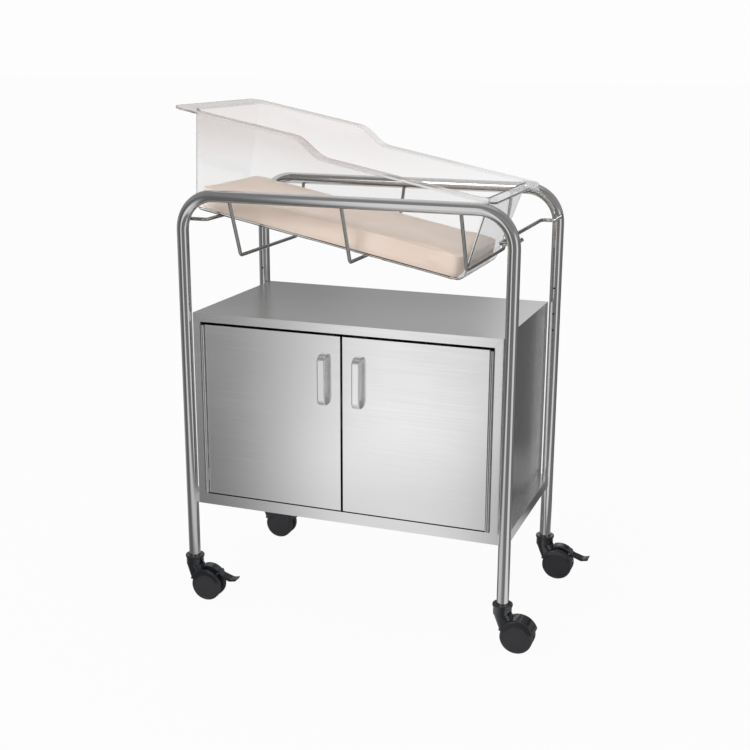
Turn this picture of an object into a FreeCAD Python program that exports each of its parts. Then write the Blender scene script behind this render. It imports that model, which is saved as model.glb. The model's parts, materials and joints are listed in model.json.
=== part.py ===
import FreeCAD, Part
import math
import os
import Sketcher

# A hospital bassinet: two bent tube hoops on casters, a steel cabinet between them, and a clear tub that
# hangs in wire hangers, here set head up. Millimetres, X towards the foot end, Y towards the rear, Z up.
# Each sub-part is one object of the document. Its Label is its name, and every size in it is bound to the
# sheet "Sizes".

os.makedirs("parts", exist_ok=True)
doc = FreeCAD.newDocument("Bassinet")
sheet = doc.addObject("Spreadsheet::Sheet", "Sizes")
Vector = FreeCAD.Vector


# ---- sizes ----

# A Term is a length or an angle: its present value, and the formula on the sheet that gives it.
class Term:
    def __init__(self, value, text):
        self.value = value
        self.text = text

    def __add__(self, other):
        return joined(self, "+", other)

    def __radd__(self, other):
        return joined(other, "+", self)

    def __sub__(self, other):
        return joined(self, "-", other)

    def __rsub__(self, other):
        return joined(other, "-", self)

    def __mul__(self, other):
        return joined(self, "*", other)

    def __rmul__(self, other):
        return joined(other, "*", self)

    def __truediv__(self, other):
        return joined(self, "/", other)

    def __neg__(self):
        return joined(0, "-", self)


def term(number):
    if isinstance(number, Term):
        return number
    return Term(float(number), f"({number:.9g})")


def joined(first, sign, second):
    first = term(first)
    second = term(second)
    results = {"+": first.value + second.value, "-": first.value - second.value, "*": first.value * second.value}
    if sign == "/":
        results["/"] = first.value / second.value
    return Term(results[sign], f"({first.text} {sign} {second.text})")


def cosine(angle):
    return Term(math.cos(math.radians(angle.value)), f"cos({angle.text})")


def sine(angle):
    return Term(math.sin(math.radians(angle.value)), f"sin({angle.text})")


def tangent(angle):
    return Term(math.tan(math.radians(angle.value)), f"tan({angle.text})")


def root(number):
    return Term(math.sqrt(number.value), f"sqrt({number.text})")


# A row of the sheet: name, value and what it is. Returns the Term that stands for it.
rowsUsed = []


def size(name, value, note):
    rowsUsed.append(name)
    row = len(rowsUsed)
    sheet.set(f"A{row}", name)
    sheet.set(f"B{row}", str(value))
    sheet.set(f"C{row}", note)
    sheet.setAlias(f"B{row}", name)
    return Term(float(value), f"Sizes.{name}")


tubeRadius = size("tube_radius", 12.5, "frame tube, outer radius")
tubeWall = size("tube_wall", 1.5, "frame tube, wall")
legSpan = size("leg_span", 700, "legs apart along the length, axis to axis")
legProud = size("leg_proud", 1.3, "legs' axes in front of the cabinet's front and behind its back")
railHeight = size("rail_height", 890, "rail axis above the floor")
hoopBend = size("hoop_bend", 72, "bend of the hoop's upper corners, at the axis")
tubeFoot = size("tube_foot", 97, "lower end of the legs above the floor")
pegHole = size("peg_hole", 2.25, "holes in the legs, radius")
pegHoleLow = size("peg_hole_low", 584, "lowest hole above the floor")
pegHoleMiddle = size("peg_hole_middle", 620, "middle hole above the floor")
pegHoleHigh = size("peg_hole_high", 677, "highest hole above the floor")
rodRadius = size("rod_radius", 3.75, "hangers and rest bars, rod radius")
rodBend = size("rod_bend", 10, "bends of hangers and rest bars, at the axis")
hangerMargin = size("hanger_margin", 34, "outer hangers from the ends of the rails' straight part")
hangerRise = size("hanger_rise", 47.5, "hangers' bottom bar above a level tub's floor")
hangerInset = size("hanger_inset", 50.3, "hangers' lower corners inside the hoops' axes")
headRestInset = size("head_rest_inset", 47, "head rest bar inside the legs' axes")
footRestInset = size("foot_rest_inset", 33, "foot rest bar inside the legs' axes")
footRestDrop = size("foot_rest_drop", 65, "foot rest bar below the rails' axes")
kinkInset = size("kink_inset", 10, "bends in the rest bars' arms inside the legs' axes")
restTail = size("rest_tail", 19, "length of a rest bar's tail past its bend")
restTailAngle = size("rest_tail_angle", 35, "slope of a rest bar's tail, degrees")
seatGap = size("seat_gap", 0.3, "clearance between a round piece and its seat")
runningFit = size("running_fit", 0.05, "clearance of a pin or stem in the piece that turns on it")

sheetWall = size("sheet_wall", 1.2, "cabinet sheet")
baseWall = size("base_wall", 1.5, "base pan sheet")
baseTop = size("base_top", 244, "base pan's top above the floor")
baseDepth = size("base_depth", 23, "base pan's height")
baseOverhang = size("base_overhang", 4.5, "base pan's ends past the legs' axes")
legGap = size("leg_gap", 2.5, "gap between the cabinet's sides and the legs")
cabinetHalfWidth = size("cabinet_half_width", 191, "cabinet and base pan, half width")
cabinetTop = size("cabinet_top", 644.5, "cabinet's top above the floor")
stileWidth = size("stile_width", 17, "face of the front frame's stiles, with the side panel's edge")
railWidth = size("rail_width", 18.5, "face of the front frame's head rail, with the top panel's edge")
stileReturn = size("stile_return", 22, "depth of the stiles")
railReturn = size("rail_return", 38, "depth of the head rail")
panelReturn = size("panel_return", 15, "flanges folded at the panels' edges")
mitreGap = size("mitre_gap", 0.3, "joint between stile and head rail")
shelfHeight = size("shelf_height", 436, "shelf's top above the floor")
shelfLip = size("shelf_lip", 20, "shelf's folded front edge")
shelfSetback = size("shelf_setback", 30, "shelf's front edge behind the cabinet's front")
clipLength = size("clip_length", 24, "shelf clip, length")
clipLeg = size("clip_leg", 12, "shelf clip, legs")
clipSetback = size("clip_setback", 60, "shelf clips from the shelf's front and back edges")

doorDepth = size("door_depth", 18, "door's thickness")
doorDrop = size("door_drop", 24, "door's upper edge below the cabinet's top")
doorRise = size("door_rise", 4, "door's lower edge above the base pan's top")
doorGap = size("door_gap", 5, "gap between the two doors")
hingeGap = size("hinge_gap", 10, "gap between a door and its stile, which the hinge fills")
knuckleRadius = size("knuckle_radius", 4.5, "hinge knuckle, outer radius")
pinRadius = size("pin_radius", 1.6, "hinge pin, radius")
knuckleProud = size("knuckle_proud", 2.7, "hinge axis in front of the cabinet's front")
knuckleGap = size("knuckle_gap", 0.3, "gap between one knuckle and the next")
knucklePairs = size("knuckle_pairs", 6, "knuckles on a door's hinge leaf")
leafWall = size("leaf_wall", 1.2, "hinge leaf, thickness")
handleSpan = size("handle_span", 102, "handle, foot to foot, middle to middle")
handleDrop = size("handle_drop", 92, "handle's middle below the door's upper edge")
handleOffset = size("handle_offset", 35, "handle from the door's free edge")
handleReach = size("handle_reach", 17.5, "handle's grip from the door's face, at its middle")
handleWidth = size("handle_width", 17, "handle strip, width")
handleThickness = size("handle_thickness", 5, "handle strip, thickness")
handleEdge = size("handle_edge", 2.4, "handle strip's edges, radius")
handleBend = size("handle_bend", 13, "handle's bends, at its middle")
screwRadius = size("screw_radius", 1.5, "handle screw, shank radius")
screwLength = size("screw_length", 8, "handle screw, shank length")
screwHead = size("screw_head", 2.8, "handle screw, head radius")
screwHeadHeight = size("screw_head_height", 1.8, "handle screw, head height")
catchWidth = size("catch_width", 30, "door catch, length")
catchHeight = size("catch_height", 14, "door catch, height")
catchDepth = size("catch_depth", 12, "door catch, depth")
catchOffset = size("catch_offset", 32, "door catch from the middle of the cabinet")

tubTilt = size("tub_tilt", 11.3, "slope of the tub, head end up, degrees")
rimInset = size("rim_inset", 6, "tub's rim shorter than the legs' span")
rimOverhang = size("rim_overhang", 2.7, "tub's rim past the hoops' axes")
tubDepth = size("tub_depth", 174, "tub's floor below the underside of the low rim")
tubWall = size("tub_wall", 3.5, "tub's wall")
rimThickness = size("rim_thickness", 4, "tub's rim, thickness")
rimCorner = size("rim_corner", 28, "corners of the tub's rim, radius")
footFlange = size("foot_flange", 22, "rim's width at the foot end")
floorHeadEnd = size("floor_head_end", 51, "tub's floor from the rim's edge at the head end")
floorFootEnd = size("floor_foot_end", 45, "tub's floor from the rim's edge at the foot end")
floorInset = size("floor_inset", 52.3, "tub's floor inside the hoops' axes")
sideDraft = size("side_draft", 7.5, "slope of the tub's long sides, degrees")
headDraft = size("head_draft", 4.8, "slope of the tub's head wall, degrees")
floorCorner = size("floor_corner", 24, "upright corners of the tub at its floor, radius")
floorRound = size("floor_round", 13, "edge between the tub's floor and its sides, outer radius")
floorRoundSteps = 3
rimStep = size("rim_step", 30, "how much higher the rim is at the head end")
stepStart = size("step_start", 364, "rim's step starts this far from the foot edge")
stepEnd = size("step_end", 416, "rim's step ends this far from the foot edge")
stepRound = size("step_round", 60, "bends of the rim's step, radius")
mattressThickness = size("mattress_thickness", 47, "mattress")
mattressGap = size("mattress_gap", 1.2, "mattress to the tub's walls")
mattressRound = size("mattress_round", 9.5, "mattress edges, radius")

wheelRadius = size("wheel_radius", 33.8, "caster wheels, radius")
wheelWidth = size("wheel_width", 13, "one caster wheel, width")
casterWidth = size("caster_width", 42, "caster over its hood")
wheelRound = size("wheel_round", 3, "edge of a wheel's tread, radius")
wheelDish = size("wheel_dish", 1.2, "depth of the dished wheel face")
wheelCap = size("wheel_cap", 2.5, "wheel's face over the axle's end")
casterTrail = size("caster_trail", 33, "caster's axle behind its stem")
axleRadius = size("axle_radius", 4, "caster axle, radius")
hoodGap = size("hood_gap", 1.5, "hood to the wheels")
hoodWall = size("hood_wall", 3.4, "hood's arch")
hoodEnd = size("hood_end", 13, "hood's lower edge above the axle")
hoodRound = size("hood_round", 4, "hood's outer edges, radius")
skirtWall = size("skirt_wall", 2, "hood's sides beside the wheels")
skirtGap = size("skirt_gap", 0.8, "hood's sides to the wheels' faces")
skirtEdge = size("skirt_edge", 27, "hood's sides end this far from the axle")
webWall = size("web_wall", 9, "hood's web between the wheels")
bossRadius = size("boss_radius", 11, "axle boss on the web, radius")
collarRadius = size("collar_radius", 19.1, "caster collar, radius")
collarLip = size("collar_lip", 20.8, "rim of the collar, radius")
collarTop = size("collar_top", 98.5, "collar's top above the floor")
collarBottom = size("collar_bottom", 75, "collar's lower edge above the floor")
collarFloor = size("collar_floor", 94, "bottom of the collar's recess, below the leg")
neckFront = size("neck_front", 1.5, "neck's foot in front of the stem's axis")
neckInset = size("neck_inset", 0.8, "neck's foot inside the hood's sides")
stemRadius = size("stem_radius", 5.5, "caster stem, radius")
stemFoot = size("stem_foot", 75, "lower end of the stem above the floor")
socketLength = size("socket_length", 42, "caster socket in the leg, length")
pedalPivotAngle = size("pedal_pivot_angle", 48, "brake pedal's pin, round the axle from the level, degrees")
pedalPinRadius = size("pedal_pin_radius", 1.8, "brake pedal's pin, radius")
earRadius = size("ear_radius", 4.2, "ears that hold the pedal's pin, radius")
pedalHalfWidth = size("pedal_half_width", 10, "brake pedal, half width")
earWidth = size("ear_width", 3.5, "one ear, width")
pedalTipReach = size("pedal_tip_reach", 104, "brake pedal's tip from the stem")
pedalTipHeight = size("pedal_tip_height", 57, "brake pedal's tip above the floor")
pedalNoseAngle = size("pedal_nose_angle", 106, "brake pedal's nose, round the axle from the level, degrees")
pedalHeelAngle = size("pedal_heel_angle", 44, "lower end of the brake pedal's arch, degrees")
pedalHeelTurn = size("pedal_heel_turn", 5, "brake pedal's heel past its arch, degrees")
pedalSlotAngle = size("pedal_slot_angle", 64, "start of the brake pedal's slot in the hood, degrees")
pedalRise = size("pedal_rise", 5.5, "brake pedal's top over the hood's arch")
pedalTipWall = size("pedal_tip_wall", 5, "brake pedal's thickness at its tip")
pedalDip = size("pedal_dip", 3.2, "dip of the brake pedal before its tip")
pedalDipReach = size("pedal_dip_reach", 92, "brake pedal's dip from the stem")


# ---- places worked out from the sizes ----

legX = legSpan / 2
tubLength = legSpan - rimInset
headRestRun = legX - headRestInset
footRestRun = legX - footRestInset
restKink = legX - kinkInset
hangerSpacing = legX - hoopBend - hangerMargin
legY = cabinetHalfWidth + legProud
tubHalfWidth = legY + rimOverhang
floorHalfWidth = legY - floorInset
hangerReach = legY - hangerInset
hangerHeight = railHeight - tubDepth + hangerRise
tubeBore = tubeRadius - tubeWall
footRestHeight = railHeight - footRestDrop
baseHalfLength = legX + baseOverhang
cabinetHalfLength = legX - tubeRadius - legGap
cabinetInner = cabinetHalfLength - sheetWall
headRailTop = cabinetTop - sheetWall
stileInner = cabinetHalfLength - stileWidth
doorTop = cabinetTop - doorDrop
doorBottom = baseTop + doorRise
handleHeight = doorTop - handleDrop
railBottom = cabinetTop - railWidth
restArm = legY - tubeRadius - rodRadius - seatGap

# The hoops' bends carry the underside of the tub's rim. The touching point lies square to the slope.
bendX = legX - hoopBend
bendZ = railHeight - hoopBend
seatX = bendX + (hoopBend + tubeRadius + seatGap) * sine(tubTilt)
seatZ = bendZ + (hoopBend + tubeRadius + seatGap) * cosine(tubTilt)

# The tub slides towards the foot end until its foot wall leans on the last hanger's bottom bar.
footSlope = (floorFootEnd - footFlange) / tubDepth
barX = (hangerSpacing - seatX) * cosine(tubTilt) - (hangerHeight - seatZ) * sine(tubTilt)
barZ = (hangerSpacing - seatX) * sine(tubTilt) + (hangerHeight - seatZ) * cosine(tubTilt)
wallLength = root(1 + footSlope * footSlope)
footEdge = footFlange + barX - footSlope * barZ - (rodRadius + seatGap) * wallLength
headEdge = footEdge - tubLength

# The head rest bar lies under the tub's floor.
headRestHeight = seatZ + ((headRestRun + seatX) * sine(tubTilt) - tubDepth - rodRadius - seatGap) / cosine(tubTilt)

# The origin is in the middle of the whole bassinet on the floor, and its ends are the tub's head edge and
# the rear brake pedal's tip.
headEndX = seatX + headEdge * cosine(tubTilt) + rimStep * sine(tubTilt)
footEndX = legX + pedalTipReach
middleX = (headEndX + footEndX) / 2


# ---- drawing ----

def setPlace(thing, x, y, z, turn=None):
    base = (term(x) - middleX, term(y), term(z))
    rotation = FreeCAD.Rotation()
    if turn is not None:
        rotation = FreeCAD.Rotation(Vector(0, 1, 0), turn.value)
    thing.Placement = FreeCAD.Placement(Vector(*[part.value for part in base]), rotation)
    for letter, part in zip("xyz", base):
        thing.setExpression(f"Placement.Base.{letter}", part.text)
    if turn is not None:
        thing.setExpression("Placement.Rotation.Angle", turn.text)


def newBody(name, x=0, y=0, z=0, turn=None):
    body = doc.addObject("PartDesign::Body", name)
    body.Label = name
    setPlace(body, x, y, z, turn)
    return body


def originPlane(body, role):
    for feature in body.Origin.OriginFeatures:
        if feature.Role == role:
            return feature


# The sketch's own axes are X and Y on XY_Plane, X and Z on XZ_Plane (it looks along +Y, so a positive
# offset goes towards -Y), and Y and Z on YZ_Plane.
def newSketch(body, role, offset=0):
    sketch = body.newObject("Sketcher::SketchObject", f"{body.Name}_sketch")
    sketch.AttachmentSupport = [(originPlane(body, role), "")]
    sketch.MapMode = "FlatFace"
    offset = term(offset)
    sketch.AttachmentOffset = FreeCAD.Placement(Vector(0, 0, offset.value), FreeCAD.Rotation())
    sketch.setExpression("AttachmentOffset.Base.z", offset.text)
    return sketch


def bind(sketch, kind, references, value):
    index = sketch.addConstraint(Sketcher.Constraint(kind, *references, value.value))
    sketch.setExpression(f"Constraints[{index}]", value.text)


def pinPoint(sketch, geometry, point, x, y):
    bind(sketch, "DistanceX", (geometry, point), term(x))
    bind(sketch, "DistanceY", (geometry, point), term(y))


def addCircle(sketch, x, y, radius):
    x, y, radius = term(x), term(y), term(radius)
    circle = Part.Circle(Vector(x.value, y.value, 0), Vector(0, 0, 1), radius.value)
    index = sketch.addGeometry(circle, False)
    pinPoint(sketch, index, 3, x, y)
    bind(sketch, "Radius", (index,), radius)


# The three points of the arc that rounds the corner between two lines.
def roundedCorner(before, corner, after, radius):
    towards = (before - corner).normalize()
    onwards = (after - corner).normalize()
    half = towards.getAngle(onwards) / 2
    reach = radius / math.tan(half)
    bisector = (towards + onwards).normalize()
    middle = corner + bisector * (radius / math.sin(half) - radius)
    return corner + towards * reach, middle, corner + onwards * reach


def nearEnd(sketch, geometry, place):
    start = sketch.getPoint(geometry, 1)
    end = sketch.getPoint(geometry, 2)
    return 1 if (start - place).Length < (end - place).Length else 2


# A line through the corners, each (x, y) or (x, y, radius), closed into an outline unless it is a path.
def addOutline(sketch, corners, closed=True):
    count = len(corners)
    points = [Vector(term(corner[0]).value, term(corner[1]).value, 0) for corner in corners]
    bends = {}
    for index, corner in enumerate(corners):
        if len(corner) == 3:
            before, after = points[index - 1], points[(index + 1) % count]
            bends[index] = roundedCorner(before, points[index], after, term(corner[2]).value)
    lines = []
    for index in range(count if closed else count - 1):
        follow = (index + 1) % count
        start = bends[index][2] if index in bends else points[index]
        end = bends[follow][0] if follow in bends else points[follow]
        lines.append(sketch.addGeometry(Part.LineSegment(start, end), False))
    for index, corner in enumerate(corners):
        x, y = corner[0], corner[1]
        isLast = not closed and index == count - 1
        isFirst = not closed and index == 0
        if isLast:
            pinPoint(sketch, lines[-1], 2, x, y)
            continue
        if isFirst:
            pinPoint(sketch, lines[0], 1, x, y)
            continue
        incoming, outgoing = lines[index - 1], lines[index]
        if index not in bends:
            sketch.addConstraint(Sketcher.Constraint("Coincident", incoming, 2, outgoing, 1))
            pinPoint(sketch, outgoing, 1, x, y)
            continue
        first, middle, last = bends[index]
        arc = sketch.addGeometry(Part.Arc(first, middle, last), False)
        knot = sketch.addGeometry(Part.Point(points[index]), True)
        sketch.addConstraint(Sketcher.Constraint("Tangent", incoming, 2, arc, nearEnd(sketch, arc, first)))
        sketch.addConstraint(Sketcher.Constraint("Tangent", outgoing, 1, arc, nearEnd(sketch, arc, last)))
        sketch.addConstraint(Sketcher.Constraint("PointOnObject", knot, 1, incoming))
        sketch.addConstraint(Sketcher.Constraint("PointOnObject", knot, 1, outgoing))
        pinPoint(sketch, knot, 1, x, y)
        bind(sketch, "Radius", (arc,), term(corner[2]))


def box(left, low, right, high, radius=None):
    corners = [(left, low), (right, low), (right, high), (left, high)]
    if radius is None:
        return corners
    return [(x, y, radius) for x, y in corners]


def addFeature(body, kind, sketch, length=None):
    feature = body.newObject(f"PartDesign::{kind}", f"{body.Name}_{kind}")
    feature.Profile = sketch
    if length is not None:
        length = term(length)
        feature.Length = length.value
        feature.setExpression("Length", length.text)
    return feature


# Adds material from the sketch along its normal.
def pad(body, sketch, length):
    return addFeature(body, "Pad", sketch, length)


# Takes material away from the sketch along its normal, or against it.
def cut(body, sketch, length, against=False):
    pocket = addFeature(body, "Pocket", sketch, length)
    pocket.Reversed = not against
    return pocket


# Revolves the sketch's outline round an axis of the body, or takes the same away.
def turnRound(body, sketch, axisRole, takeAway=False):
    feature = addFeature(body, "Groove" if takeAway else "Revolution", sketch)
    feature.ReferenceAxis = (originPlane(body, axisRole), [""])
    feature.Angle = 360
    return feature


def sweep(body, profile, path):
    pipe = addFeature(body, "AdditivePipe", profile)
    pipe.Spine = (path, [])
    return pipe


def mirror(body, features, role):
    mirrored = body.newObject("PartDesign::Mirrored", f"{body.Name}_mirror")
    mirrored.Originals = features
    mirrored.MirrorPlane = (originPlane(body, role), [""])
    body.Tip = mirrored
    return mirrored


def loft(body, kind, sections):
    feature = addFeature(body, kind, sections[0])
    feature.Sections = sections[1:]
    feature.Ruled = True
    return feature


# Rounds the edges that the test picks out.
def roundEdges(body, base, radius, test):
    doc.recompute()
    names = [f"Edge{index + 1}" for index, edge in enumerate(base.Shape.Edges) if test(edge)]
    fillet = body.newObject("PartDesign::Fillet", f"{body.Name}_fillet")
    fillet.Base = (base, names)
    fillet.Radius = radius.value
    fillet.setExpression("Radius", radius.text)
    return fillet


subParts = []


def finish(body):
    subParts.append(body)
    return body


# A group of like solids, one node.
def group(name, members):
    compound = doc.addObject("Part::Compound", name)
    compound.Label = name
    compound.Links = members
    return finish(compound)


corners4 = [(-1, -1), (1, -1), (1, 1), (-1, 1)]


# ---- frame ----

# A hoop: one tube bent into an upturned U, with holes on the side of its legs that faces the other hoop.
def makeHoop(name, side):
    body = newBody(name, 0, side * legY, 0)
    path = newSketch(body, "XZ_Plane")
    addOutline(path, [(-legX, tubeFoot), (-legX, railHeight, hoopBend), (legX, railHeight, hoopBend),
                      (legX, tubeFoot)], closed=False)
    profile = newSketch(body, "XY_Plane", tubeFoot)
    addCircle(profile, -legX, 0, tubeRadius)
    addCircle(profile, -legX, 0, tubeBore)
    sweep(body, profile, path)
    holes = newSketch(body, "XZ_Plane")
    for end in (-1, 1):
        for height in (pegHoleLow, pegHoleMiddle, pegHoleHigh):
            addCircle(holes, end * legX, height, pegHole)
    cut(body, holes, tubeRadius + tubeWall, against=side < 0)
    return finish(body)


# A hanger: a rod bent into a U across the frame, whose slanting arms aim at the axes of the two rails.
def makeHanger(name, x):
    body = newBody(name, x, 0, hangerHeight)
    across = legY - hangerReach
    rise = railHeight - hangerHeight
    armLength = root(across * across + rise * rise)
    share = 1 - (tubeRadius + seatGap) / armLength
    path = newSketch(body, "YZ_Plane")
    addOutline(path, [(0, 0), (hangerReach, 0, rodBend), (hangerReach + across * share, rise * share)],
               closed=False)
    profile = newSketch(body, "XZ_Plane")
    addCircle(profile, 0, 0, rodRadius)
    half = sweep(body, profile, path)
    mirror(body, [half], "XZ_Plane")
    return finish(body)


# A rest bar: a rod across one end of the frame. Its arms run along the inner sides of the legs, where their
# kinked tails are welded.
def makeRestBar(name, end, run, height, tailSide):
    body = newBody(name, 0, 0, height)
    path = newSketch(body, "XY_Plane")
    addOutline(path, [(end * run, 0), (end * run, restArm, rodBend), (end * restKink, restArm)], closed=False)
    profile = newSketch(body, "XZ_Plane")
    addCircle(profile, end * run, 0, rodRadius)
    arm = sweep(body, profile, path)
    tailPath = newSketch(body, "XZ_Plane", -restArm)
    lead = rodRadius * 1.5
    addOutline(tailPath, [(end * restKink, 0), (end * (restKink + lead), 0, lead * 2),
                          (end * (restKink + lead + restTail * cosine(restTailAngle)),
                           tailSide * restTail * sine(restTailAngle))], closed=False)
    tailProfile = newSketch(body, "YZ_Plane", end * restKink)
    addCircle(tailProfile, restArm, 0, rodRadius)
    tail = sweep(body, tailProfile, tailPath)
    mirror(body, [arm, tail], "XZ_Plane")
    return finish(body)


# The base pan: a folded tray, open underneath, with its corners cut out round the legs.
def makeBasePan():
    body = newBody("base_pan", 0, 0, baseTop - baseDepth)
    outer = newSketch(body, "XY_Plane")
    addOutline(outer, box(-baseHalfLength, -cabinetHalfWidth, baseHalfLength, cabinetHalfWidth))
    pad(body, outer, baseDepth)
    inner = newSketch(body, "XY_Plane")
    innerX, innerY = baseHalfLength - baseWall, cabinetHalfWidth - baseWall
    addOutline(inner, box(-innerX, -innerY, innerX, innerY))
    cut(body, inner, baseDepth - baseWall)
    notches = newSketch(body, "XY_Plane")
    for signX, signY in corners4:
        addCircle(notches, signX * legX, signY * legY, tubeRadius + seatGap)
    cut(body, notches, baseDepth)
    return finish(body)


makeHoop("front_hoop", -1)
makeHoop("rear_hoop", 1)
makeHanger("hanger_head", -hangerSpacing)
makeHanger("hanger_middle", 0)
makeHanger("hanger_foot", hangerSpacing)
makeRestBar("head_rest_bar", -1, headRestRun, headRestHeight, -1)
makeRestBar("foot_rest_bar", 1, footRestRun, footRestHeight, 1)
makeBasePan()


# ---- cabinet ----

# The floor, with its back edge folded up.
def makeCabinetFloor():
    body = newBody("cabinet_floor", 0, 0, baseTop)
    profile = newSketch(body, "YZ_Plane", -cabinetInner)
    back = cabinetHalfWidth - sheetWall
    addOutline(profile, [(-cabinetHalfWidth, 0), (back, 0), (back, panelReturn), (back - sheetWall, panelReturn),
                         (back - sheetWall, sheetWall), (-cabinetHalfWidth, sheetWall)])
    pad(body, profile, cabinetInner * 2)
    return finish(body)


# A side panel: a sheet with a flange folded inwards at its back edge.
def makeSidePanel(name, side):
    body = newBody(name, 0, 0, baseTop)
    plan = newSketch(body, "XY_Plane")
    outer, inner = side * cabinetHalfLength, side * cabinetInner
    back = cabinetHalfWidth - sheetWall
    flange = side * (cabinetInner - panelReturn)
    flangeFront = back - sheetWall * 2
    addOutline(plan, [(outer, -cabinetHalfWidth), (outer, cabinetHalfWidth), (inner, cabinetHalfWidth),
                      (inner, -cabinetHalfWidth)])
    pad(body, plan, headRailTop - baseTop)
    fold = newSketch(body, "XY_Plane", panelReturn + sheetWall)
    addOutline(fold, [(inner, flangeFront), (inner, flangeFront + sheetWall), (flange, flangeFront + sheetWall),
                      (flange, flangeFront)])
    pad(body, fold, headRailTop - baseTop - (panelReturn + sheetWall) * 2)
    return finish(body)


def makeBackPanel():
    body = newBody("back_panel", 0, 0, baseTop + seatGap)
    plan = newSketch(body, "XY_Plane")
    halfLength = cabinetInner - seatGap
    addOutline(plan, box(-halfLength, cabinetHalfWidth - sheetWall, halfLength, cabinetHalfWidth))
    pad(body, plan, headRailTop - baseTop - seatGap)
    return finish(body)


# The top: a sheet with a skirt folded down inside the side and back panels.
def makeTopPanel():
    body = newBody("top_panel", 0, 0, headRailTop)
    plan = newSketch(body, "XY_Plane")
    addOutline(plan, box(-cabinetHalfLength, -cabinetHalfWidth, cabinetHalfLength, cabinetHalfWidth))
    pad(body, plan, sheetWall)
    skirt = newSketch(body, "XY_Plane", -panelReturn)
    outX, outY = cabinetInner - seatGap, cabinetHalfWidth - sheetWall - seatGap
    inX, inY = outX - sheetWall, outY - sheetWall
    front = -cabinetHalfWidth + railReturn
    addOutline(skirt, [(-outX, front), (-inX, front), (-inX, inY), (inX, inY), (inX, front), (outX, front),
                       (outX, outY), (-outX, outY)])
    pad(body, skirt, panelReturn)
    return finish(body)


# The front frame's stiles and head rail are folded channels that meet in a mitre: each is cut off along the
# line from the opening's corner to the cabinet's corner.
def mitreSlope():
    return (headRailTop - railBottom) / (cabinetInner - stileInner)


def makeStile(name, side):
    body = newBody(name, 0, 0, baseTop + sheetWall)
    plan = newSketch(body, "XY_Plane")
    outer, inner = side * (cabinetInner - seatGap), side * stileInner
    fold = side * (stileInner + sheetWall)
    front = -cabinetHalfWidth
    back = front + stileReturn
    addOutline(plan, [(outer, front), (inner, front), (inner, back), (outer, back), (outer, back - sheetWall),
                      (fold, back - sheetWall), (fold, front + sheetWall), (outer, front + sheetWall)])
    pad(body, plan, headRailTop - baseTop - sheetWall)
    mitre = newSketch(body, "XZ_Plane", -cabinetHalfWidth)
    foot = railBottom - baseTop - sheetWall
    spare = stileWidth * 2
    addOutline(mitre, [(side * (stileInner - spare), foot - spare * mitreSlope() - mitreGap / 2),
                       (side * (stileInner + spare), foot + spare * mitreSlope() - mitreGap / 2),
                       (side * (stileInner - spare), foot + spare * 3)])
    cut(body, mitre, cabinetHalfWidth * 2)
    return finish(body)


def makeHeadRail():
    body = newBody("head_rail", 0, 0, railBottom)
    halfLength = cabinetInner - seatGap
    section = newSketch(body, "YZ_Plane", -halfLength)
    front = -cabinetHalfWidth
    back = front + railReturn
    face = headRailTop - railBottom
    addOutline(section, [(front, 0), (back, 0), (back, panelReturn), (back - sheetWall, panelReturn),
                         (back - sheetWall, sheetWall), (front + sheetWall, sheetWall),
                         (front + sheetWall, face), (front, face)])
    pad(body, section, halfLength * 2)
    mitre = newSketch(body, "XZ_Plane", -cabinetHalfWidth)
    spare = stileWidth * 2
    for side in (-1, 1):
        addOutline(mitre, [(side * (stileInner - spare), -spare * mitreSlope() + mitreGap / 2),
                           (side * (stileInner + spare), spare * mitreSlope() + mitreGap / 2),
                           (side * (stileInner + spare), -spare * mitreSlope() + mitreGap / 2)])
    cut(body, mitre, cabinetHalfWidth * 2)
    return finish(body)


# The shelf, its front edge folded down, on four angle clips.
def makeShelf():
    body = newBody("shelf", 0, 0, shelfHeight)
    halfLength = cabinetInner - seatGap * 2
    section = newSketch(body, "YZ_Plane", -halfLength)
    front = -cabinetHalfWidth + shelfSetback
    back = cabinetHalfWidth - sheetWall * 4
    addOutline(section, [(front, 0), (back, 0), (back, -sheetWall), (front + sheetWall, -sheetWall),
                         (front + sheetWall, -shelfLip), (front, -shelfLip)])
    pad(body, section, halfLength * 2)
    finish(body)
    clips = []
    for signX, signY in corners4:
        middleY = signY * (cabinetHalfWidth - shelfSetback - clipSetback)
        clip = newBody("shelf_clip", 0, middleY - clipLength / 2, shelfHeight - sheetWall)
        plan = newSketch(clip, "XZ_Plane")
        wall = signX * cabinetInner
        addOutline(plan, [(wall, 0), (wall - signX * clipLeg, 0), (wall - signX * clipLeg, -sheetWall),
                          (wall - signX * sheetWall, -sheetWall), (wall - signX * sheetWall, -clipLeg),
                          (wall, -clipLeg)])
        angle = pad(clip, plan, clipLength)
        angle.Reversed = True
        clips.append(clip)
    group("shelf_clips", clips)


def makeBox(name, x, y, z, length, width, height):
    block = doc.addObject("Part::Box", name)
    block.Label = name
    for quality, value in (("Length", length), ("Width", width), ("Height", height)):
        setattr(block, quality, value.value)
        block.setExpression(quality, value.text)
    setPlace(block, x, y, z)
    return block


def makeRound(name, x, y, z, radius, height):
    rod = doc.addObject("Part::Cylinder", name)
    rod.Label = name
    for quality, value in (("Radius", radius), ("Height", height)):
        setattr(rod, quality, value.value)
        rod.setExpression(quality, value.text)
    setPlace(rod, x, y, z)
    return rod


# Two magnetic catches hang from the head rail behind the doors' free corners.
def makeCatches():
    catches = []
    front = -cabinetHalfWidth + doorDepth + leafWall + seatGap
    for side in (-1, 1):
        left = side * catchOffset - catchWidth / 2
        catches.append(makeBox("door_catch", left, front, railBottom - catchHeight,
                               catchWidth, catchDepth, catchHeight))
    group("door_catches", catches)


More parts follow.
